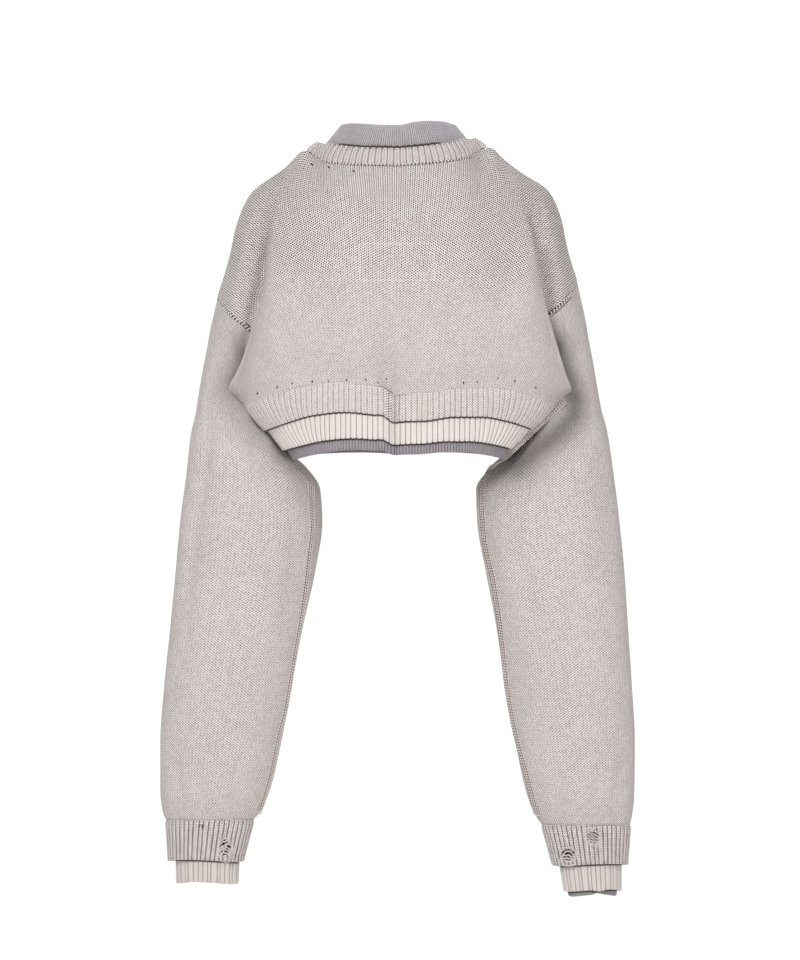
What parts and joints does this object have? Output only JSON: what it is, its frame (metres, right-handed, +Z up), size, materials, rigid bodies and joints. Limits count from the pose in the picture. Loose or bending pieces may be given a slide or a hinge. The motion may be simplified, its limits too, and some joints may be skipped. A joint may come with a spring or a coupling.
{
  "type": "cropped knit sweater",
  "caption": "Cropped drop-shoulder knit sweater with long full sleeves and layered rib hems, cuffs and mock neck, held in its worn, hollow shape.",
  "frame": {"origin": "centre of the neck at shoulder height, where the wearer's shoulders carry the garment", "axes": "+Z up, -Y towards the wearer's front, +X towards the wearer's left arm"},
  "size_m": [0.5718, 0.2096, 0.9257],
  "materials": {
    "knit_greige": "matte chunky cotton stockinette and rib, greige",
    "knit_cream": "matte cotton rib, cream",
    "knit_grey": "matte fine cotton rib, grey"
  },
  "bodies": {
    "root": {"back_panel": "knit_greige", "front_panel": "knit_greige", "sleeve_left": "knit_greige", "sleeve_right": "knit_greige", "neckband": "knit_greige", "hem_outer_back": "knit_greige", "hem_outer_front": "knit_greige", "cuff_outer_left_back": "knit_greige", "cuff_outer_left_front": "knit_greige", "cuff_outer_right_back": "knit_greige", "cuff_outer_right_front": "knit_greige", "hem_middle_back": "knit_cream", "hem_middle_front": "knit_cream", "cuff_middle_left": "knit_cream", "cuff_middle_right": "knit_cream", "collar": "knit_grey", "hem_inner_back": "knit_grey", "hem_inner_front": "knit_grey", "cuff_inner_left": "knit_grey", "cuff_inner_right": "knit_grey"}
  },
  "joints": []
}
